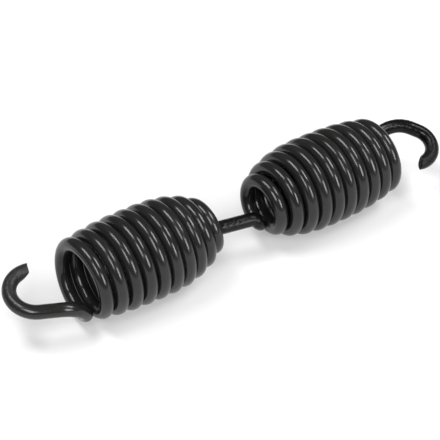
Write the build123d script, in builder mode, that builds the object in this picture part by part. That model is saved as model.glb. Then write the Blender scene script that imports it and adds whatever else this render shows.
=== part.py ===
"""Brake shoe return spring: one length of round spring wire.

The wire runs from the left hook through a barrel coil, a straight shank and a second barrel
coil to the right hook. Millimetres, with X along the spring, Z up, and the origin on the surface
that the spring lies on, under the middle of its length.

A place on a coil is given by its turn angle: 0 is the top, 90 the front, 180 the bottom and
270 the back, and the angle grows with X, which makes both coils right-handed.
"""

import os
from math import acos, asin, atan2, cos, degrees, hypot, radians, sin, tan

from build123d import *

# wire
WIRE_DIAMETER = 3.0

# over all: from the outside of one hook to the outside of the other
LENGTH = 103.54

# coils: each is a barrel, open at its mouth and drawn in at its neck, where the shank begins
PITCH = 3.1
BELLY_RADIUS = 8.54
LEFT_NECK_RADIUS = 4.41
RIGHT_NECK_RADIUS = 4.06
LEFT_MOUTH_RADIUS = 7.12
RIGHT_MOUTH_RADIUS = 6.63
BELLY_PLACE = 0.51
BARREL_POWER = 2.59
LEFT_MOUTH_X = -36.86
LEFT_MOUTH_ANGLE = 150.0
LEFT_TURNS = 9.96
RIGHT_NECK_X = 6.36
RIGHT_NECK_ANGLE = 160.0
RIGHT_TURNS = 10.12

# shank between the coils: where its bends are, beside the spring's axis
SHANK_LEFT_X = -3.68
SHANK_LEFT_OFFSET = 1.26
SHANK_LEFT_ANGLE = 150.0
SHANK_RIGHT_X = 4.68
SHANK_RIGHT_OFFSET = 2.36
SHANK_RIGHT_ANGLE = 125.0

# bends: the tight one at each end of a coil, and those in the legs and the shank
BEND_RADIUS = 1.75
SHANK_BEND_RADIUS = 1.65
LEFT_LEG_BEND_RADIUS = 3.9
RIGHT_LEG_BEND_RADIUS = 5.8

# hooks: each lies, with its leg, in a plane through the spring's axis, and its middle is on the
# side of the axis away from the leg by the offset
LEFT_HOOK_RADIUS = 5.26
LEFT_HOOK_OFFSET = 1.72
LEFT_HOOK_ANGLE = 101.6
LEFT_HOOK_TIP = 100.5
LEFT_KNEE_X = -37.62
LEFT_KNEE_RADIUS = 6.62
RIGHT_HOOK_RADIUS = 4.15
RIGHT_HOOK_OFFSET = 1.42
RIGHT_HOOK_ANGLE = 293.5
RIGHT_HOOK_TIP = 105.5
RIGHT_KNEE_X = 41.9
RIGHT_KNEE_RADIUS = 8.0

# sheared ends of the wire: how far the cut leans from square
SHEAR_ANGLE = 20.0

# height of the spring's axis above the surface it lies on
AXIS_HEIGHT = BELLY_RADIUS + WIRE_DIAMETER / 2

POINTS_PER_TURN = 12
SAME_PLACE = 0.001


def around(x, radius, angle):
    """The point at a distance from the axis, at a turn angle."""
    turn = radians(angle)
    return Vector(x, -radius * sin(turn), AXIS_HEIGHT + radius * cos(turn))


def barrel_radius(along, mouth_radius, neck_radius):
    """Radius of the wire's centre line; along runs from 0 at the mouth to 1 at the neck."""
    if along < BELLY_PLACE:
        share = (BELLY_PLACE - along) / BELLY_PLACE
        return BELLY_RADIUS - (BELLY_RADIUS - mouth_radius) * share**BARREL_POWER
    share = (along - BELLY_PLACE) / (1 - BELLY_PLACE)
    return BELLY_RADIUS - (BELLY_RADIUS - neck_radius) * share**BARREL_POWER


def left_coil(turn):
    radius = barrel_radius(turn / LEFT_TURNS, LEFT_MOUTH_RADIUS, LEFT_NECK_RADIUS)
    return around(LEFT_MOUTH_X + PITCH * turn, radius, LEFT_MOUTH_ANGLE + 360 * turn)


def right_coil(turn):
    radius = barrel_radius(1 - turn / RIGHT_TURNS, RIGHT_MOUTH_RADIUS, RIGHT_NECK_RADIUS)
    return around(RIGHT_NECK_X + PITCH * turn, radius, RIGHT_NECK_ANGLE + 360 * turn)


def direction(coil, turn, turns):
    """Unit vector along the wire at a place on a coil."""
    step = 0.001
    before, after = max(turn - step, 0), min(turn + step, turns)
    return (coil(after) - coil(before)).normalized()


def coil_line(coil, turns):
    """The coil's centre line, one smooth curve for each turn."""
    whole = round(turns)
    curves = []
    for number in range(whole):
        start, stop = turns * number / whole, turns * (number + 1) / whole
        steps = [start + (stop - start) * n / POINTS_PER_TURN for n in range(POINTS_PER_TURN + 1)]
        curves.append(
            Spline(
                *[coil(step) for step in steps],
                tangents=[direction(coil, start, turns), direction(coil, stop, turns)],
                tangent_scalars=[1, 1],
            )
        )
    return curves


def bend_corner(end, away, target):
    """Corner of the tight bend that starts where a coil ends and leaves it aimed at a point."""
    ahead = (target - end).dot(away)
    rise = (target - end - away * ahead).length - BEND_RADIUS
    turn = atan2(rise, ahead) + asin(BEND_RADIUS / hypot(ahead, rise))
    return end + away * (BEND_RADIUS * tan(turn / 2))


def bent_line(points, radii):
    """Straight runs between the points, with an arc of the given radius at each inner one."""
    pieces = []
    start = points[0]
    for before, corner, after, radius in zip(points, points[1:], points[2:], radii):
        back, ahead = (before - corner).normalized(), (after - corner).normalized()
        half = radians(back.get_angle(ahead)) / 2
        reach = radius / tan(half)
        middle = corner + (back + ahead).normalized() * (radius / sin(half) - radius)
        first, last = corner + back * reach, corner + ahead * reach
        if (first - start).length > SAME_PLACE:
            pieces.append(Line(start, first))
        pieces.append(ThreePointArc(first, middle, last))
        start = last
    if (points[-1] - start).length > SAME_PLACE:
        pieces.append(Line(start, points[-1]))
    return pieces


def hook_middle_x(radius, side):
    """Place along the spring of a hook's centre; side is -1 for the left hook, 1 for the right."""
    return side * (LENGTH / 2 - WIRE_DIAMETER / 2 - radius)


def hook_line(end, away, angle, knee, leg_bend, radius, offset, tip, side):
    """The leg and hook beyond a coil's mouth, from the coil's end to the wire's tip.

    The knee is given by its place along the spring and its distance from the axis. The leg leaves
    it on the line that touches the hook's circle. Places on that circle are angles in the hook's
    plane, from 0 at the spring's end to 90 on the leg's side.
    """
    hook_x = hook_middle_x(radius, side)

    def on_hook(place):
        across = radius * sin(radians(place)) - offset
        return around(hook_x + side * radius * cos(radians(place)), across, angle)

    run, rise = (hook_x - knee[0]) * side, knee[1] + offset
    touch = degrees(atan2(rise, -run) - acos(radius / hypot(run, rise)))
    knee_point = around(*knee, angle)
    leg = bent_line(
        [end, bend_corner(end, away, knee_point), knee_point, on_hook(touch)],
        [BEND_RADIUS, leg_bend],
    )
    hook = ThreePointArc(on_hook(touch), on_hook((touch - tip) / 2), on_hook(-tip))
    return leg + [hook]


def hook_axis(angle, radius, offset, side):
    """Plane of a hook: origin at its centre, x outwards along the spring, y towards its leg."""
    outwards = Vector(side, 0, 0)
    towards_leg = around(0, 1, angle) - around(0, 0, angle)
    centre = around(hook_middle_x(radius, side), -offset, angle)
    return Plane(origin=centre, x_dir=outwards, z_dir=outwards.cross(towards_leg))


with BuildPart() as spring_wire:
    left_start, right_end = left_coil(0), right_coil(RIGHT_TURNS)
    left_end, right_start = left_coil(LEFT_TURNS), right_coil(0)
    shank_left = around(SHANK_LEFT_X, SHANK_LEFT_OFFSET, SHANK_LEFT_ANGLE)
    shank_right = around(SHANK_RIGHT_X, SHANK_RIGHT_OFFSET, SHANK_RIGHT_ANGLE)
    left_hook = hook_line(
        left_start,
        direction(left_coil, 0, LEFT_TURNS) * -1,
        LEFT_HOOK_ANGLE,
        (LEFT_KNEE_X, LEFT_KNEE_RADIUS),
        LEFT_LEG_BEND_RADIUS,
        LEFT_HOOK_RADIUS,
        LEFT_HOOK_OFFSET,
        LEFT_HOOK_TIP,
        -1,
    )
    shank = bent_line(
        [
            left_end,
            bend_corner(left_end, direction(left_coil, LEFT_TURNS, LEFT_TURNS), shank_left),
            shank_left,
            shank_right,
            bend_corner(right_start, direction(right_coil, 0, RIGHT_TURNS) * -1, shank_right),
            right_start,
        ],
        [BEND_RADIUS, SHANK_BEND_RADIUS, SHANK_BEND_RADIUS, BEND_RADIUS],
    )
    right_hook = hook_line(
        right_end,
        direction(right_coil, RIGHT_TURNS, RIGHT_TURNS),
        RIGHT_HOOK_ANGLE,
        (RIGHT_KNEE_X, RIGHT_KNEE_RADIUS),
        RIGHT_LEG_BEND_RADIUS,
        RIGHT_HOOK_RADIUS,
        RIGHT_HOOK_OFFSET,
        RIGHT_HOOK_TIP,
        1,
    )
    coils = [coil_line(left_coil, LEFT_TURNS), coil_line(right_coil, RIGHT_TURNS)]
    path = Wire([piece.edge() for piece in left_hook + coils[0] + shank + coils[1] + right_hook])
    with BuildSketch(Plane(origin=path @ 0, z_dir=path % 0)):
        Circle(WIRE_DIAMETER / 2)
    sweep(path=path)

    # each end is cut off on a slant, the longer side outwards
    for angle, radius, offset, tip, side in (
        (LEFT_HOOK_ANGLE, LEFT_HOOK_RADIUS, LEFT_HOOK_OFFSET, LEFT_HOOK_TIP, -1),
        (RIGHT_HOOK_ANGLE, RIGHT_HOOK_RADIUS, RIGHT_HOOK_OFFSET, RIGHT_HOOK_TIP, 1),
    ):
        with Locations(hook_axis(angle, radius, offset, side)):
            with Locations(Location((0, 0, 0), (0, 0, -tip))):
                with Locations(Location((radius + WIRE_DIAMETER / 2, 0, 0), (0, 0, -SHEAR_ANGLE))):
                    Box(
                        3 * WIRE_DIAMETER,
                        WIRE_DIAMETER,
                        2 * WIRE_DIAMETER,
                        align=(Align.CENTER, Align.MAX, Align.CENTER),
                        mode=Mode.SUBTRACT,
                    )

spring_wire.part.label = "spring_wire"
os.makedirs("parts", exist_ok=True)
export_step(spring_wire.part, "parts/spring_wire.step")
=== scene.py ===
# %% [markdown]
# # A brake shoe spring: one bent wire, gloss black, in a light studio
#
# The real part is a single length of round spring wire. A winding machine makes two barrel-shaped
# coils of it, leaves a short straight shank between them, and bends each end into an open hook.
# The finished spring is dipped in black lacquer. So this lesson follows one path: first the line
# that the middle of the wire takes, then the wire around that line, then its finish, and last the
# lamps that a gloss black part needs, because black gloss shows little but its surroundings.

# %% Load the measured model
from math import acos, asin, atan2, cos, degrees, hypot, pi, radians, sin, tan

import bpy
from mathutils import Matrix, Vector


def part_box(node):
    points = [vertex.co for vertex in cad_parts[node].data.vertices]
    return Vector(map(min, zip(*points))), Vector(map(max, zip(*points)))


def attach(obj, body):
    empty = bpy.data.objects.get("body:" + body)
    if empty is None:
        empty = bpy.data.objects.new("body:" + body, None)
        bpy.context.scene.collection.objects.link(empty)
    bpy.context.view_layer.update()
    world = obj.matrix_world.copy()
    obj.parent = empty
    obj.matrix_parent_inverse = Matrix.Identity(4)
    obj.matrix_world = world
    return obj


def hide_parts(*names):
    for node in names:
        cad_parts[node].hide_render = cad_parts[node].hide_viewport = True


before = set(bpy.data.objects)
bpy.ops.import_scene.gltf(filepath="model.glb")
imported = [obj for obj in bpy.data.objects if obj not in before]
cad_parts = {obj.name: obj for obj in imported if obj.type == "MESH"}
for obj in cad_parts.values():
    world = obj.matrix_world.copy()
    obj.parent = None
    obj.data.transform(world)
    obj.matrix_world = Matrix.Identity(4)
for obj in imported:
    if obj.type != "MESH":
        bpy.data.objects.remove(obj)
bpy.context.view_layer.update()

# %% [markdown]
# ## The sizes
#
# Everything is in millimetres until the last step of the geometry, as on the maker's drawing. A
# place on a coil is given by its turn angle: 0 is the top, 90 the front, 180 the bottom and 270
# the back. The sizes are the measured model's, with small corrections after the photograph: the
# turns lean a little, the middle of each coil is moved along, and the legs have rounder bends. The
# new wire stays within about a millimetre of the measured one, so it can stand in for it.

# %% Sizes of the wire and its coils
WIRE_DIAMETER = 3.0
BEND_RADIUS = 1.75
SHANK_BEND_RADIUS = 1.65
BOTH_COILS = {
    "Pitch": 3.1,
    "Belly Radius": 8.54,
    "Barrel Power": 2.59,
    "Axis Height": 10.04,
    "Foremost Place": 30.0,
}
LEFT_COIL = {
    "Turns": 9.96,
    "Start X": -36.86,
    "Start Angle": 150.0,
    "Start Radius": 7.12,
    "End Radius": 4.41,
    "Belly Place": 0.51,
    "Lean": 2.0,
    "Middle Shift": 0.6,
}
RIGHT_COIL = {
    "Turns": 10.12,
    "Start X": 6.36,
    "Start Angle": 160.0,
    "Start Radius": 4.06,
    "End Radius": 6.63,
    "Belly Place": 0.49,
    "Lean": 5.0,
    "Middle Shift": -0.3,
}
print("wire", WIRE_DIAMETER, "mm thick;", LEFT_COIL["Turns"], "and", RIGHT_COIL["Turns"], "turns")

# %% Sizes of the shank, the hooks and their knees
# each end of the shank: its x, its distance from the spring's axis and its turn angle
SHANK_ENDS = ((-3.68, 1.26, 150.0), (4.5, 2.36, 125.0))
LEFT_HOOK = {
    "Side": -1.0,
    "Centre X": -45.01,
    "Centre Offset": -1.72,
    "Radius": 5.26,
    "Plane Angle": 101.6,
    "Last Place": -100.5,
    "Blade Turn": 35.0,
    "Shear Angle": 0.0,
    "Pinch": 1.1,
    "Thin Lacquer": 0.0,
}
RIGHT_HOOK = {
    "Side": 1.0,
    "Centre X": 46.12,
    "Centre Offset": -1.42,
    "Radius": 4.15,
    "Plane Angle": 293.5,
    "Last Place": -105.5,
    "Blade Turn": 0.0,
    "Shear Angle": 11.0,
    "Pinch": 0.2,
    "Thin Lacquer": 0.7,
}
LEFT_KNEE = {"x": -38.7, "radius": 6.2, "bend": 6.0}
RIGHT_KNEE = {"x": 42.2, "radius": 9.2, "bend": 6.7}
EYES = [round(2 * hook["Radius"] - WIRE_DIAMETER, 2) for hook in (LEFT_HOOK, RIGHT_HOOK)]
print("the hooks are", EYES, "mm wide inside")

# %% [markdown]
# ## A way to write sums as nodes
#
# A node tree can hold any formula, but a formula laid out as thirty Math nodes by hand is hard to
# read. The class below wraps one output socket and gives it the ordinary signs for sums, so that a
# line of Python adds the nodes of that line. The second class owns a tree and has the one method
# that adds every other kind of node.


# %% Sockets that can be added and multiplied
class Value:
    """One output of a node. Each sum made with it adds a Math node to the tree."""

    def __init__(self, tree, socket):
        self.tree, self.socket = tree, socket

    def other(self, name):
        """Another output of the same node."""
        return Value(self.tree, self.socket.node.outputs[name])

    def math(self, operation, *values):
        return self.tree.add("ShaderNodeMath", {"operation": operation}, dict(enumerate(values)))

    def __add__(self, other):
        return self.math("ADD", self, other)

    def __sub__(self, other):
        return self.math("SUBTRACT", self, other)

    def __rsub__(self, other):
        return self.math("SUBTRACT", other, self)

    def __mul__(self, other):
        return self.math("MULTIPLY", self, other)

    def __truediv__(self, other):
        return self.math("DIVIDE", self, other)

    def __rtruediv__(self, other):
        return self.math("DIVIDE", other, self)

    def __pow__(self, other):
        return self.math("POWER", self, other)

    __radd__, __rmul__ = __add__, __mul__

    def at_least(self, other):
        return self.math("MAXIMUM", self, other)

    def at_most(self, other):
        return self.math("MINIMUM", self, other)

    def above(self, other):
        return self.math("GREATER_THAN", self, other)

    def sine(self):
        return self.math("SINE", self)

    def cosine(self):
        return self.math("COSINE", self)

    def tangent(self):
        return self.math("TANGENT", self)

    def rounded(self):
        return self.math("ROUND", self)


signs = [name for name in vars(Value) if name.startswith("__") and name.endswith("add__")]
print("signs for sums ready, such as", signs)


# %% The tree that the sums belong to
NODES_IN_A_ROW = 24


class Tree:
    """A node tree, and the method that puts nodes into it."""

    def __init__(self, tree):
        self.tree = tree

    def add(self, kind, settings=None, values=None, output=0):
        node = self.tree.nodes.new(kind)
        row, column = divmod(len(self.tree.nodes), NODES_IN_A_ROW)
        node.location = (180 * column, -240 * row)
        for name, setting in (settings or {}).items():
            setattr(node, name, setting)
        for place, value in (values or {}).items():
            for one in value if isinstance(value, list) else [value]:
                if isinstance(one, Value):
                    self.tree.links.new(one.socket, node.inputs[place])
                else:
                    node.inputs[place].default_value = one
        return Value(self, node.outputs[output]) if node.outputs else None

    def vector(self, x, y, z):
        return self.add("ShaderNodeCombineXYZ", None, {0: x, 1: y, 2: z})

    def vector_math(self, operation, *values, output=0):
        values = dict(enumerate(values))
        return self.add("ShaderNodeVectorMath", {"operation": operation}, values, output)

    def scaled(self, vector, factor):
        values = {"Vector": vector, "Scale": factor}
        return self.add("ShaderNodeVectorMath", {"operation": "SCALE"}, values)


methods = [name for name in vars(Tree) if not name.startswith("_")]
print("a tree can add any node; its methods are", methods)

# %% A node group with named sizes
DEGREE = pi / 180


def new_group(name, sizes, takes_geometry=False):
    """A Geometry Nodes group. Returns its tree and its inputs by name."""
    group = bpy.data.node_groups.new(name, "GeometryNodeTree")
    if takes_geometry:
        group.interface.new_socket("Geometry", in_out="INPUT", socket_type="NodeSocketGeometry")
    for title, size in sizes.items():
        socket = group.interface.new_socket(title, in_out="INPUT", socket_type="NodeSocketFloat")
        socket.default_value = size
    group.interface.new_socket("Geometry", in_out="OUTPUT", socket_type="NodeSocketGeometry")
    tree = Tree(group)
    first = tree.add("NodeGroupInput")
    titles = [socket.name for socket in first.socket.node.outputs if socket.name]
    return tree, {title: first.other(title) for title in titles}


def attribute(tree, name, kind="FLOAT"):
    """A named attribute that an earlier node stored on the geometry."""
    return tree.add("GeometryNodeInputNamedAttribute", {"data_type": kind}, {"Name": name})


def store(tree, geometry, name, value, kind="FLOAT", domain="POINT"):
    """Keeps a value on the geometry under a name."""
    settings = {"data_type": kind, "domain": domain}
    values = {"Geometry": geometry, "Name": name, "Value": value}
    return tree.add("GeometryNodeStoreNamedAttribute", settings, values)


def around(tree, x, radius, angle, height):
    """The point at a distance from the spring's axis, at a turn angle in degrees."""
    turn = angle * DEGREE
    return tree.vector(x, radius * turn.sine() * -1, height + radius * turn.cosine())


print("helpers for groups ready; one degree is", round(DEGREE, 5))

# %% [markdown]
# ## A barrel coil
#
# The machine feeds wire past a finger that moves in and out, so the coil starts narrow, swells and
# draws in again. A Spiral curve can't do that, since its radius only runs from one size to the
# other. So the group bends a straight mesh line: each of its points gets an angle and a radius by
# formula. The real turns also stand at a slight slant and aren't quite evenly spaced. So each point
# is moved along the axis too: by a lean, which pushes every turn furthest at one turn angle and
# fades where the coil is narrow, and by a shift that is greatest at the coil's middle. Both coils
# of the spring come from this one group with other sizes.

# %% The barrel coil as a node group
POINTS_PER_TURN = 60
coil_tree, size = new_group("Barrel coil", {**BOTH_COILS, **LEFT_COIL})
points = (size["Turns"] * POINTS_PER_TURN).rounded() + 1
line = coil_tree.add("GeometryNodeMeshLine", None, {"Count": points})
share = coil_tree.add("GeometryNodeInputIndex") / (points - 1)
before_belly = ((size["Belly Place"] - share) / size["Belly Place"]).at_least(0)
after_belly = ((share - size["Belly Place"]) / (1 - size["Belly Place"])).at_least(0)
radius = (
    size["Belly Radius"]
    - (size["Belly Radius"] - size["Start Radius"]) * before_belly ** size["Barrel Power"]
    - (size["Belly Radius"] - size["End Radius"]) * after_belly ** size["Barrel Power"]
)
turn = size["Turns"] * share
angle = size["Start Angle"] + turn * 360
lean = (size["Lean"] * DEGREE).tangent() * radius * (radius / size["Belly Radius"]) ** 2
lean = lean * ((angle - size["Foremost Place"]) * DEGREE).cosine()
shift = size["Middle Shift"] * (share * pi).sine()
along = size["Start X"] + size["Pitch"] * turn + lean + shift
place = around(coil_tree, along, radius, angle, size["Axis Height"])
wound = coil_tree.add("GeometryNodeSetPosition", None, {"Geometry": line, "Position": place})
coil_tree.add("NodeGroupOutput", None, {"Geometry": wound})
print("barrel coil group:", len(coil_tree.tree.nodes), "nodes")

# %% [markdown]
# ## A hook
#
# Each end of the wire is bent round a pin through nearly half a circle, then sheared off. An arc
# needs only a centre, a radius and two angles. The points are crowded towards the cut end, where
# the sheared edge needs them. What the cut and the finish need later is kept on them: which way
# the wire runs, how near the cut is, how the blade stood, and how dull and thin the black is.

# %% The arc of the hook as a node group
HOOK_POINTS = 36
USUAL_FIRST_PLACE = 70.0
hook_sizes = {"First Place": USUAL_FIRST_PLACE, "Axis Height": BOTH_COILS["Axis Height"]}
hook_tree, size = new_group("Hook", {**LEFT_HOOK, **hook_sizes})
line = hook_tree.add("GeometryNodeMeshLine", None, {"Count": HOOK_POINTS})
share = hook_tree.add("GeometryNodeInputIndex") / (HOOK_POINTS - 1)
left_over = (1 - share) ** 2
place = size["Last Place"] + (size["First Place"] - size["Last Place"]) * left_over
swing = place * DEGREE


def in_hook_plane(outwards, across, height):
    """A direction or place from its share along the spring and its share towards the leg."""
    return around(hook_tree, size["Side"] * outwards, across, size["Plane Angle"], height)


middle = (size["Centre X"], size["Centre Offset"], size["Plane Angle"], size["Axis Height"])
centre = around(hook_tree, *middle)
outwards = in_hook_plane(swing.cosine(), swing.sine(), 0)
ahead = in_hook_plane(swing.sine(), swing.cosine() * -1, 0)
to_cut = (place - size["Last Place"]) * DEGREE * size["Radius"]
position = hook_tree.vector_math("ADD", centre, hook_tree.scaled(outwards, size["Radius"]))
bent = hook_tree.add("GeometryNodeSetPosition", None, {"Geometry": line, "Position": position})
print("the arc has", HOOK_POINTS, "points")

# %% What the points of the hook carry
MATT_RISE, MATT_START = 2.5, 0.4
EDGE_WIDTH, EDGE_SHRINK = 0.12, 0.08
upwards = hook_tree.vector_math("CROSS_PRODUCT", ahead, outwards)
blade = size["Blade Turn"] * DEGREE
far_side = hook_tree.vector_math(
    "ADD", hook_tree.scaled(outwards, blade.cosine()), hook_tree.scaled(upwards, blade.sine())
)
bent = store(hook_tree, bent, "far_side", far_side, "FLOAT_VECTOR")
bent = store(hook_tree, bent, "ahead", ahead, "FLOAT_VECTOR")
bent = store(hook_tree, bent, "slant", (size["Shear Angle"] * DEGREE).tangent())
bent = store(hook_tree, bent, "pinch", size["Pinch"])
bent = store(hook_tree, bent, "thin", size["Thin Lacquer"])
matt = ((1 - left_over) * MATT_RISE - MATT_START).at_least(0).at_most(1)
bent = store(hook_tree, bent, "matt", matt)
bent = store(hook_tree, bent, "near_cut", (1 - to_cut / WIRE_DIAMETER).at_least(0))
edge = (1 - to_cut / EDGE_WIDTH).at_least(0)
rounding = 1 - (1 - (1 - edge**2) ** 0.5) * EDGE_SHRINK
bent = store(hook_tree, bent, "edge_rounding", rounding)
hook_tree.add("NodeGroupOutput", None, {"Geometry": bent})
print("hook group:", len(hook_tree.tree.nodes), "nodes")

# %% [markdown]
# ## The bends between the coils and the hooks
#
# Where a coil ends, a tight bend turns the wire out of the circle and aims it along the spring.
# The legs of the hooks and the shank are straight runs with bends between them. Only their
# corners are worked out here, with plain numbers, because each corner has to lie on the line
# that touches the coil's end. So the coil's formula is written here once more. The rounding of the
# corners is left to the Fillet Curve node.


# %% Places and directions at the ends of the coils
def point_around(x, radius, angle):
    """The point that the nodes' helper gives, in plain numbers."""
    turn = radians(angle)
    height = BOTH_COILS["Axis Height"] + radius * cos(turn)
    return Vector((x, -radius * sin(turn), height))


def coil_place(coil, share):
    """The middle of the wire at a share of a coil's turns, and the way it runs there."""

    def at(share):
        power, belly = BOTH_COILS["Barrel Power"], BOTH_COILS["Belly Radius"]
        before = max((coil["Belly Place"] - share) / coil["Belly Place"], 0) ** power
        after = max((share - coil["Belly Place"]) / (1 - coil["Belly Place"]), 0) ** power
        radius = belly - (belly - coil["Start Radius"]) * before - (belly - coil["End Radius"]) * after
        turn = coil["Turns"] * share
        angle = coil["Start Angle"] + 360 * turn
        lean = tan(radians(coil["Lean"])) * radius * (radius / belly) ** 2
        lean *= cos(radians(angle - BOTH_COILS["Foremost Place"]))
        shift = coil["Middle Shift"] * sin(pi * share)
        along = coil["Start X"] + BOTH_COILS["Pitch"] * turn + lean + shift
        return point_around(along, radius, angle)

    step = 0.0001
    earlier, later = at(max(share - step, 0)), at(min(share + step, 1))
    return at(share), (later - earlier).normalized()


def tight_corner(end, away, target):
    """Corner of the bend that starts where a coil ends and leaves it aimed at a point."""
    distance = (target - end).dot(away)
    rise = (target - end - away * distance).length - BEND_RADIUS
    turn = atan2(rise, distance) + asin(BEND_RADIUS / hypot(distance, rise))
    return end + away * (BEND_RADIUS * tan(turn / 2))


def touching_place(hook, knee):
    """Angle on the hook's circle where the straight run from the knee touches it."""
    run = (hook["Centre X"] - knee["x"]) * hook["Side"]
    rise = knee["radius"] - hook["Centre Offset"]
    return degrees(atan2(rise, -run) - acos(hook["Radius"] / hypot(run, rise)))


for hook, knee in ((LEFT_HOOK, LEFT_KNEE), (RIGHT_HOOK, RIGHT_KNEE)):
    print("the leg touches its hook at", round(touching_place(hook, knee), 1), "degrees")


# %% The corners of the legs and the shank
def leg_corners(end, away, hook, knee):
    """The corners of a leg, from its coil to its hook, and the radius of the bend at each."""
    angle = hook["Plane Angle"]
    knee_point = point_around(knee["x"], knee["radius"], angle)
    swing = radians(touching_place(hook, knee))
    across = hook["Centre Offset"] + hook["Radius"] * sin(swing)
    along = hook["Centre X"] + hook["Side"] * hook["Radius"] * cos(swing)
    corners = [end, tight_corner(end, away, knee_point), knee_point, point_around(along, across, angle)]
    return corners, [0, BEND_RADIUS, knee["bend"], 0]


left_start, left_way = coil_place(LEFT_COIL, 0)
left_end, left_end_way = coil_place(LEFT_COIL, 1)
right_start, right_way = coil_place(RIGHT_COIL, 0)
right_end, right_end_way = coil_place(RIGHT_COIL, 1)
shank_left, shank_right = [point_around(*place) for place in SHANK_ENDS]
shank = [
    left_end,
    tight_corner(left_end, left_end_way, shank_left),
    shank_left,
    shank_right,
    tight_corner(right_start, right_way * -1, shank_right),
    right_start,
]
shank_bends = [0, BEND_RADIUS, SHANK_BEND_RADIUS, SHANK_BEND_RADIUS, BEND_RADIUS, 0]
RUNS = [
    leg_corners(left_start, left_way * -1, LEFT_HOOK, LEFT_KNEE),
    (shank, shank_bends),
    leg_corners(right_end, right_end_way, RIGHT_HOOK, RIGHT_KNEE),
]
print("corners of the runs:", [len(corners) for corners, bends in RUNS])

# %% [markdown]
# ## The runs as a mesh of edges
#
# The three runs become one small mesh of loose edges, which the node tree takes as its geometry.
# Each corner carries its own bend radius as an attribute. The radius is a hair under the true one,
# so that no two points of the rounded line fall on each other. Two more attributes are for the
# finish: how hard the wire was worked there after winding, and how thin the lacquer lies on it.

# %% The mesh of the runs
BEND_SHARE = 0.98
STRAIGHT_WORKED = 0.6
SHANK_THIN = 0.7
LEFT_LEG_WORKED, SHANK_WORKED, RIGHT_LEG_WORKED = 0.25, 1.0, 0.5
run_finish = (
    (LEFT_LEG_WORKED, LEFT_HOOK["Thin Lacquer"]),
    (SHANK_WORKED, SHANK_THIN),
    (RIGHT_LEG_WORKED, RIGHT_HOOK["Thin Lacquer"]),
)
corner_points, corner_edges, corner_bends, corner_finish = [], [], [], []
for (corners, bends), finish in zip(RUNS, run_finish):
    first = len(corner_points)
    corner_points += corners
    corner_bends += [BEND_SHARE * bend for bend in bends]
    corner_finish += [finish] * len(corners)
    corner_edges += [(first + n, first + n + 1) for n in range(len(corners) - 1)]
runs_mesh = bpy.data.meshes.new("runs")
runs_mesh.from_pydata(corner_points, corner_edges, [])
bend_radius = runs_mesh.attributes.new("bend_radius", "FLOAT", "POINT")
worked = runs_mesh.attributes.new("worked", "FLOAT", "POINT")
thin_lacquer = runs_mesh.attributes.new("thin", "FLOAT", "POINT")
for number, (bend, (how_worked, thin)) in enumerate(zip(corner_bends, corner_finish)):
    bend_radius.data[number].value = bend
    thin_lacquer.data[number].value = thin
    worked.data[number].value = how_worked if bend else STRAIGHT_WORKED * how_worked
wire_line = bpy.data.objects.new("wire_line", runs_mesh)
bpy.context.scene.collection.objects.link(wire_line)
print("runs:", len(corner_points), "points,", len(corner_edges), "edges")

# %% [markdown]
# ## The wire round its line
#
# A Bevel on a curve object would give the same tube, but the nodes let the line carry values into
# the skin. The tree joins the coils, hooks and runs into one line, rounds its corners, and sweeps
# a circle along it. The skin then knows how far along the wire each point is and where it lies
# round the wire, which the finish needs, because drawing leaves marks that run lengthwise.

# %% Groups for both coils and both hooks
COIL_GROUPS = [("Left Coil", LEFT_COIL), ("Right Coil", RIGHT_COIL)]
HOOK_GROUPS = [("Left Hook", LEFT_HOOK, LEFT_KNEE), ("Right Hook", RIGHT_HOOK, RIGHT_KNEE)]
SIDES = 28
wire_sizes = {"Wire Diameter": WIRE_DIAMETER, "Sides": SIDES, **BOTH_COILS}
for title, coil in COIL_GROUPS:
    wire_sizes.update({f"{title} {name}": number for name, number in coil.items()})
for title, hook, knee in HOOK_GROUPS:
    wire_sizes.update({f"{title} {name}": number for name, number in hook.items()})
    wire_sizes[f"{title} First Place"] = touching_place(hook, knee)
wire_tree, size = new_group("Spring wire", wire_sizes, takes_geometry=True)
parts = [size["Geometry"]]
for title, coil in COIL_GROUPS:
    values = {name: size[name] for name in BOTH_COILS}
    values.update({name: size[f"{title} {name}"] for name in coil})
    parts.append(wire_tree.add("GeometryNodeGroup", {"node_tree": coil_tree.tree}, values))
for title, hook, knee in HOOK_GROUPS:
    values = {name: size[f"{title} {name}"] for name in (*hook, "First Place")}
    values["Axis Height"] = size["Axis Height"]
    parts.append(wire_tree.add("GeometryNodeGroup", {"node_tree": hook_tree.tree}, values))
print("parts of the line:", len(parts), "with", len(wire_sizes), "named sizes")

# %% One line, rounded at its corners
SAME_POINT = 0.001
POINTS_IN_A_BEND = 12
joined = wire_tree.add("GeometryNodeJoinGeometry", None, {"Geometry": parts})
merging = {"Geometry": joined, "Distance": SAME_POINT}
merged = wire_tree.add("GeometryNodeMergeByDistance", None, merging)
curve = wire_tree.add("GeometryNodeMeshToCurve", None, {"Mesh": merged})
rounding = {"Count": POINTS_IN_A_BEND, "Radius": attribute(wire_tree, "bend_radius")}
rounding.update({"Curve": curve, "Limit Radius": False})
curve = wire_tree.add("GeometryNodeFilletCurve", {"mode": "POLY"}, rounding)
along = wire_tree.add("GeometryNodeSplineParameter").other("Length")
curve = store(wire_tree, curve, "along", along)
curve = store(wire_tree, curve, "centre", wire_tree.add("GeometryNodeInputPosition"), "FLOAT_VECTOR")
print("the line is one curve, and its points know their distance along it")

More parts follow.
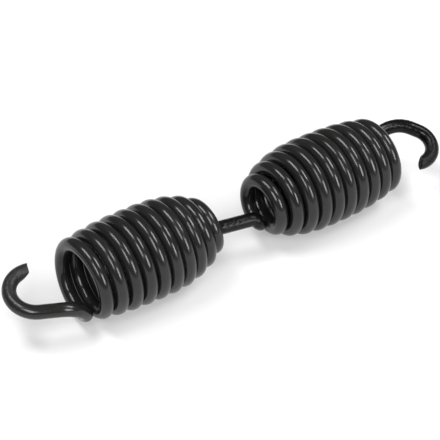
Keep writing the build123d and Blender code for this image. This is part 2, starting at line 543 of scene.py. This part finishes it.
# %% The skin of the wire
wire_radius = size["Wire Diameter"] * 0.5
circle = {"Resolution": size["Sides"], "Radius": wire_radius}
profile = wire_tree.add("GeometryNodeCurvePrimitiveCircle", None, circle).other("Curve")
round_place = wire_tree.scaled(wire_tree.add("GeometryNodeInputPosition"), 1 / wire_radius)
profile = store(wire_tree, profile, "round_place", round_place, "FLOAT_VECTOR")
sweep = {"Curve": curve, "Profile Curve": profile, "Fill Caps": True}
skin = wire_tree.add("GeometryNodeCurveToMesh", None, sweep)
round_place = attribute(wire_tree, "round_place", "FLOAT_VECTOR")
round_x = wire_tree.add("ShaderNodeSeparateXYZ", None, {0: round_place})
wire_place = wire_tree.vector(attribute(wire_tree, "along"), round_x, round_x.other("Y"))
skin = store(wire_tree, skin, "wire_place", wire_place, "FLOAT_VECTOR")
print("skin:", SIDES, "sides round the wire")

# %% The two flat ends of the skin
CORNERS_OF_A_SKIN_FACE = 4
corners_of_face = wire_tree.add("GeometryNodeInputMeshFaceNeighbors").other("Vertex Count")
is_cut = corners_of_face.above(CORNERS_OF_A_SKIN_FACE)
skin = store(wire_tree, skin, "cut", is_cut, "FLOAT", "FACE")
print("a face with more than", CORNERS_OF_A_SKIN_FACE, "corners is a cut end")

# %% [markdown]
# ## The sheared ends
#
# A shear doesn't cut square. Its blade may lean, and it pinches the wire where it goes in. On the
# far side the last of the metal tears away and leaves a small lip. A boolean cut could give the
# slant but not the pinch and the lip. So the skin's last points slide along the wire instead: back
# by the slant, further back at the pinch, and forward at the lip. Right at the edge they also draw
# in a little, because no sheared edge is quite sharp.

# %% Slant, pinch, lip and edge
LIP_FROM, LIP_HEIGHT, LIP_POWER = 0.75, 0.7, 12
PINCH_FROM, PINCH_POWER = 0.4, 1.5
near_cut = attribute(wire_tree, "near_cut")
far_side = attribute(wire_tree, "far_side", "FLOAT_VECTOR")
ahead = attribute(wire_tree, "ahead", "FLOAT_VECTOR")
centre = attribute(wire_tree, "centre", "FLOAT_VECTOR")
arm = wire_tree.vector_math("SUBTRACT", wire_tree.add("GeometryNodeInputPosition"), centre)
side = wire_tree.vector_math("DOT_PRODUCT", arm, far_side, output="Value")
slant = (side - wire_radius) * attribute(wire_tree, "slant") * near_cut
lip = (side - wire_radius * LIP_FROM).at_least(0) * LIP_HEIGHT * near_cut**LIP_POWER
pinch = (side / wire_radius * -1 - PINCH_FROM).at_least(0) / (1 - PINCH_FROM)
pinch = pinch * attribute(wire_tree, "pinch") * near_cut**PINCH_POWER
shrink = (attribute(wire_tree, "edge_rounding") - 1).at_most(0) * near_cut.above(0)
slide = wire_tree.scaled(ahead, slant + lip - pinch)
offset = wire_tree.vector_math("ADD", slide, wire_tree.scaled(arm, shrink))
skin = wire_tree.add("GeometryNodeSetPosition", None, {"Geometry": skin, "Offset": offset})
smooth = {"Geometry": skin, "Shade Smooth": 1 - is_cut}
skin = wire_tree.add("GeometryNodeSetShadeSmooth", {"domain": "FACE"}, smooth)
print("cut ends slant by", LEFT_HOOK["Shear Angle"], "and", RIGHT_HOOK["Shear Angle"], "degrees")

# %% [markdown]
# ## The finish
#
# Under the black is hard-drawn steel wire: the die leaves fine marks along it. The lacquer over it
# levels itself on the coils and mirrors the room sharply, so most of the wire is a dark plain
# surface with low roughness. A black metal would be the other choice, but it mirrors the white
# floor too strongly. A share of metal comes in only where the lacquer is thin, on the shank and
# the right hook. The wire is pitted where it was bent hard after winding, and the hooks are duller.

# %% The black finish as nodes
black = bpy.data.materials.new("black_lacquered_wire")
black.use_nodes = True
black.node_tree.nodes.clear()
paint = Tree(black.node_tree)


def wire_noise(lengthwise, crosswise, detail):
    """Noise in the wire's own directions: features per millimetre along it and round it."""
    place = paint.add("ShaderNodeAttribute", {"attribute_name": "wire_place"}).other("Vector")
    round_scale = crosswise * WIRE_DIAMETER / 2
    stretched = paint.vector_math("MULTIPLY", place, (lengthwise, round_scale, round_scale))
    values = {"Vector": stretched, "Scale": 1.0, "Detail": detail, "Roughness": 0.55}
    return paint.add("ShaderNodeTexNoise", None, values).other("Fac")


def painted(name):
    """A value that the geometry stored on the wire."""
    return paint.add("ShaderNodeAttribute", {"attribute_name": name}).other("Fac")


MIDDLE = 0.5
PIT_EDGE = 3.0
drawing_lines = wire_noise(lengthwise=0.03, crosswise=4.0, detail=3.0)
ripples = wire_noise(lengthwise=0.35, crosswise=0.35, detail=1.0)
pits = wire_noise(lengthwise=1.4, crosswise=1.4, detail=3.0)
cut = painted("cut")
matt = painted("matt")
worked = (painted("worked") + matt).at_most(1)
pitted = ((pits - MIDDLE) * PIT_EDGE).at_least(0).at_most(1) * worked
print("patterns on the wire: drawing lines, ripples, pits")

# %% Colour and roughness of the finish
BLACK = {"plain": 0.012, "lines": 0.01, "ripples": 0.004, "pits": 0.35, "cut": 0.35}
DULL = {"plain": 0.19, "lines": 0.16, "ripples": 0.1, "pits": 0.2, "matt": 0.2, "cut": 0.4}
GREEN_SHARE, BLUE_SHARE = 0.99, 0.96
shade = BLACK["plain"] + (drawing_lines - MIDDLE) * BLACK["lines"]
shade = shade + (ripples - MIDDLE) * BLACK["ripples"]
shade = shade * (1 - pitted * BLACK["pits"]) * (1 - cut * BLACK["cut"])
colour = paint.vector(shade, shade * GREEN_SHARE, shade * BLUE_SHARE)
roughness = DULL["plain"] + (drawing_lines - MIDDLE) * DULL["lines"]
roughness = roughness + (ripples - MIDDLE) * DULL["ripples"]
roughness = roughness + pitted * DULL["pits"] + matt * DULL["matt"] + cut * DULL["cut"]
print("black", BLACK["plain"], "with roughness", DULL["plain"], "on the plain wire")

# %% Relief of the finish, and the surface
RELIEF = {"lines": 0.5, "ripples": 1.2, "pits": 9.0, "cut": 6.0}
RELIEF_STRENGTH, RELIEF_DEPTH = 0.5, 0.00004
height = drawing_lines * RELIEF["lines"] + ripples * RELIEF["ripples"]
height = height + pits * worked * RELIEF["pits"] + cut * pits * RELIEF["cut"]
bump = {"Strength": RELIEF_STRENGTH, "Distance": RELIEF_DEPTH, "Height": height}
relief = paint.add("ShaderNodeBump", None, bump)
lacquer = {"Base Color": colour, "Metallic": painted("thin"), "Roughness": roughness}
lacquer.update({"Normal": relief, "IOR": 1.45})
surface = paint.add("ShaderNodeBsdfPrincipled", None, lacquer)
paint.add("ShaderNodeOutputMaterial", None, {"Surface": surface})
print("finish:", len(black.node_tree.nodes), "nodes")

# %% [markdown]
# ## From nodes to a plain mesh
#
# The tree's last steps bring the wire from millimetres to metres and give it its finish. The
# result is then read off as an ordinary mesh that carries its attributes, and the modifier goes,
# so that nothing depends on the nodes any more.

# %% The finished piece
MILLIMETRE = 0.001
scale = {"Geometry": skin, "Scale": (MILLIMETRE, MILLIMETRE, MILLIMETRE)}
metres = wire_tree.add("GeometryNodeTransform", None, scale)
real = wire_tree.add("GeometryNodeRealizeInstances", None, {"Geometry": metres})
finished = wire_tree.add("GeometryNodeSetMaterial", None, {"Geometry": real, "Material": black})
wire_tree.add("NodeGroupOutput", None, {"Geometry": finished})
modifier = wire_line.modifiers.new("Spring wire", "NODES")
modifier.node_group = wire_tree.tree
for item in wire_tree.tree.interface.items_tree:
    if item.in_out == "INPUT" and item.name in wire_sizes:
        modifier[item.identifier] = float(wire_sizes[item.name])
evaluated = wire_line.evaluated_get(bpy.context.evaluated_depsgraph_get())
skin_mesh = bpy.data.meshes.new_from_object(evaluated)
wire_line.modifiers.remove(modifier)
bpy.data.objects.remove(wire_line)
coiled_wire = bpy.data.objects.new("coiled_wire", skin_mesh)
bpy.context.scene.collection.objects.link(coiled_wire)
triangles = sum(len(face.vertices) - 2 for face in skin_mesh.polygons)
print("wire:", len(skin_mesh.vertices), "points,", triangles, "triangles")

# %% The piece joins the measured model
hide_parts("spring_wire")
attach(coiled_wire, "root")
low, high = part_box("spring_wire")
print("measured wire from", [round(1000 * n, 2) for n in low], "to", [round(1000 * n, 2) for n in high])

# %% [markdown]
# ## The studio
#
# A photographer lights gloss black with white panels, because each panel shows as a bright streak
# along every turn. The streaks in the photograph tell where the panels stood. Every turn has four
# short ones in a row, so there are four narrow panels, each with its long side turned about the
# spring's axis: one beyond the spring, one behind the camera, one on the right and a low one in
# front. Area lamps give such streaks and light the floor as well.

# %% Lamps
PANEL_DISTANCE = 0.9
WATTS_PER_SQUARE_METRE = 4
# each panel: azimuth, elevation, its width along the axis and its length about it, brightness
PANELS = {
    "panel_behind": (-130, 69, 16, 34, 8.0),
    "panel_behind_camera": (-41, 48, 16, 29, 8.0),
    "panel_right": (70, 52, 16, 23, 9.7),
    "panel_front": (17, 26, 16, 26, 9.7),
}


def panel(name, azimuth, elevation, width, length, brightness):
    """Puts up a panel. Its place and size are angles, in degrees, as seen from the spring."""
    side, rise = radians(azimuth), radians(elevation)
    way = Vector((sin(side) * cos(rise), -cos(side) * cos(rise), sin(rise)))
    about = Vector((1, 0, 0)).cross(way).normalized()
    lamp = bpy.data.lights.new(name, "AREA")
    lamp.shape = "RECTANGLE"
    lamp.size = 2 * PANEL_DISTANCE * tan(radians(width) / 2)
    lamp.size_y = 2 * PANEL_DISTANCE * tan(radians(length) / 2)
    lamp.energy = brightness * WATTS_PER_SQUARE_METRE * lamp.size * lamp.size_y
    stand = bpy.data.objects.new(name, lamp)
    turned = Matrix((about.cross(way), about, way)).transposed().to_4x4()
    stand.matrix_world = Matrix.Translation(way * PANEL_DISTANCE) @ turned
    bpy.context.scene.collection.objects.link(stand)


for name, place in PANELS.items():
    panel(name, *place)

# %% [markdown]
# ## Floor and surroundings
#
# The part lies on a white sheet. A plain white floor takes its soft shadow, and a little extra
# glow that only the camera and mirror-like surfaces see lifts the rest of the sheet to white. A
# shadow catcher would need a see-through picture, and this one has a white ground.

# %% The white sheet
SHEET_WHITE, SHEET_GLOW, SHEET_REACH = 0.6, 0.25, 2
sheet = bpy.data.materials.new("white_sheet")
sheet.use_nodes = True
sheet.node_tree.nodes.clear()
paper = Tree(sheet.node_tree)
rays = paper.add("ShaderNodeLightPath")
seen = (rays + rays.other("Is Glossy Ray") + rays.other("Is Transmission Ray")).at_most(1)
white = (SHEET_WHITE, SHEET_WHITE, SHEET_WHITE, 1)
lit = paper.add("ShaderNodeBsdfDiffuse", None, {"Color": white})
glow = paper.add("ShaderNodeEmission", None, {"Color": (1, 1, 1, 1), "Strength": seen * SHEET_GLOW})
both = paper.add("ShaderNodeAddShader", None, {0: lit, 1: glow})
paper.add("ShaderNodeOutputMaterial", None, {"Surface": both})
sheet_corners = [(SHEET_REACH * x, SHEET_REACH * y, 0) for x, y in ((-1, -1), (1, -1), (1, 1), (-1, 1))]
floor_mesh = bpy.data.meshes.new("floor")
floor_mesh.from_pydata(sheet_corners, [], [(0, 1, 2, 3)])
floor_mesh.materials.append(sheet)
floor = bpy.data.objects.new("floor", floor_mesh)
bpy.context.scene.collection.objects.link(floor)
print("sheet:", 2 * SHEET_REACH, "m wide")

# %% The room
ROOM_LIGHT = 0.16
world = bpy.data.worlds.new("room")
bpy.context.scene.world = world
world.use_nodes = True
world.node_tree.nodes.clear()
room = Tree(world.node_tree)
walls = room.add("ShaderNodeBackground", None, {"Color": (1, 1, 1, 1), "Strength": ROOM_LIGHT})
room.add("ShaderNodeOutputWorld", None, {"Surface": walls})
print("the room's walls give", ROOM_LIGHT, "of a white room's light")

# %% [markdown]
# ## The camera
#
# A long lens stands above the front left and looks down on the spring. Its place was found by
# laying the measured sizes over the photograph, so it is given as angles, a distance and a lens.

# %% Where the camera stands
AZIMUTH, ELEVATION, DISTANCE = -32.21, 41.89, 427.55
AIM_X, AIM_ABOVE_AXIS = -2.55, 0.28
side, rise = radians(AZIMUTH), radians(ELEVATION)
aim = Vector((AIM_X, 0, AIM_ABOVE_AXIS + BOTH_COILS["Axis Height"]))
back = Vector((sin(side) * cos(rise), -cos(side) * cos(rise), sin(rise)))
right = Vector((cos(side), sin(side), 0))
up = back.cross(right)
place = (aim + back * DISTANCE) / 1000
print("the camera stands at", [round(part, 3) for part in place], "m")

# %% The camera and its lens
LENS_IN_PIXELS, PICTURE_IN_PIXELS, SENSOR = 2064.36, 440, 36
lens = bpy.data.cameras.new("camera")
lens.sensor_fit, lens.sensor_width = "HORIZONTAL", SENSOR
lens.lens = LENS_IN_PIXELS / PICTURE_IN_PIXELS * lens.sensor_width
camera = bpy.data.objects.new("camera", lens)
turned = Matrix((right, up, back)).transposed().to_4x4()
camera.matrix_world = Matrix.Translation(place) @ turned
bpy.context.scene.collection.objects.link(camera)
bpy.context.scene.camera = camera
bpy.context.scene.view_settings.view_transform = "Standard"
print("lens", round(lens.lens, 1), "mm at", round(DISTANCE / 1000, 3), "m")
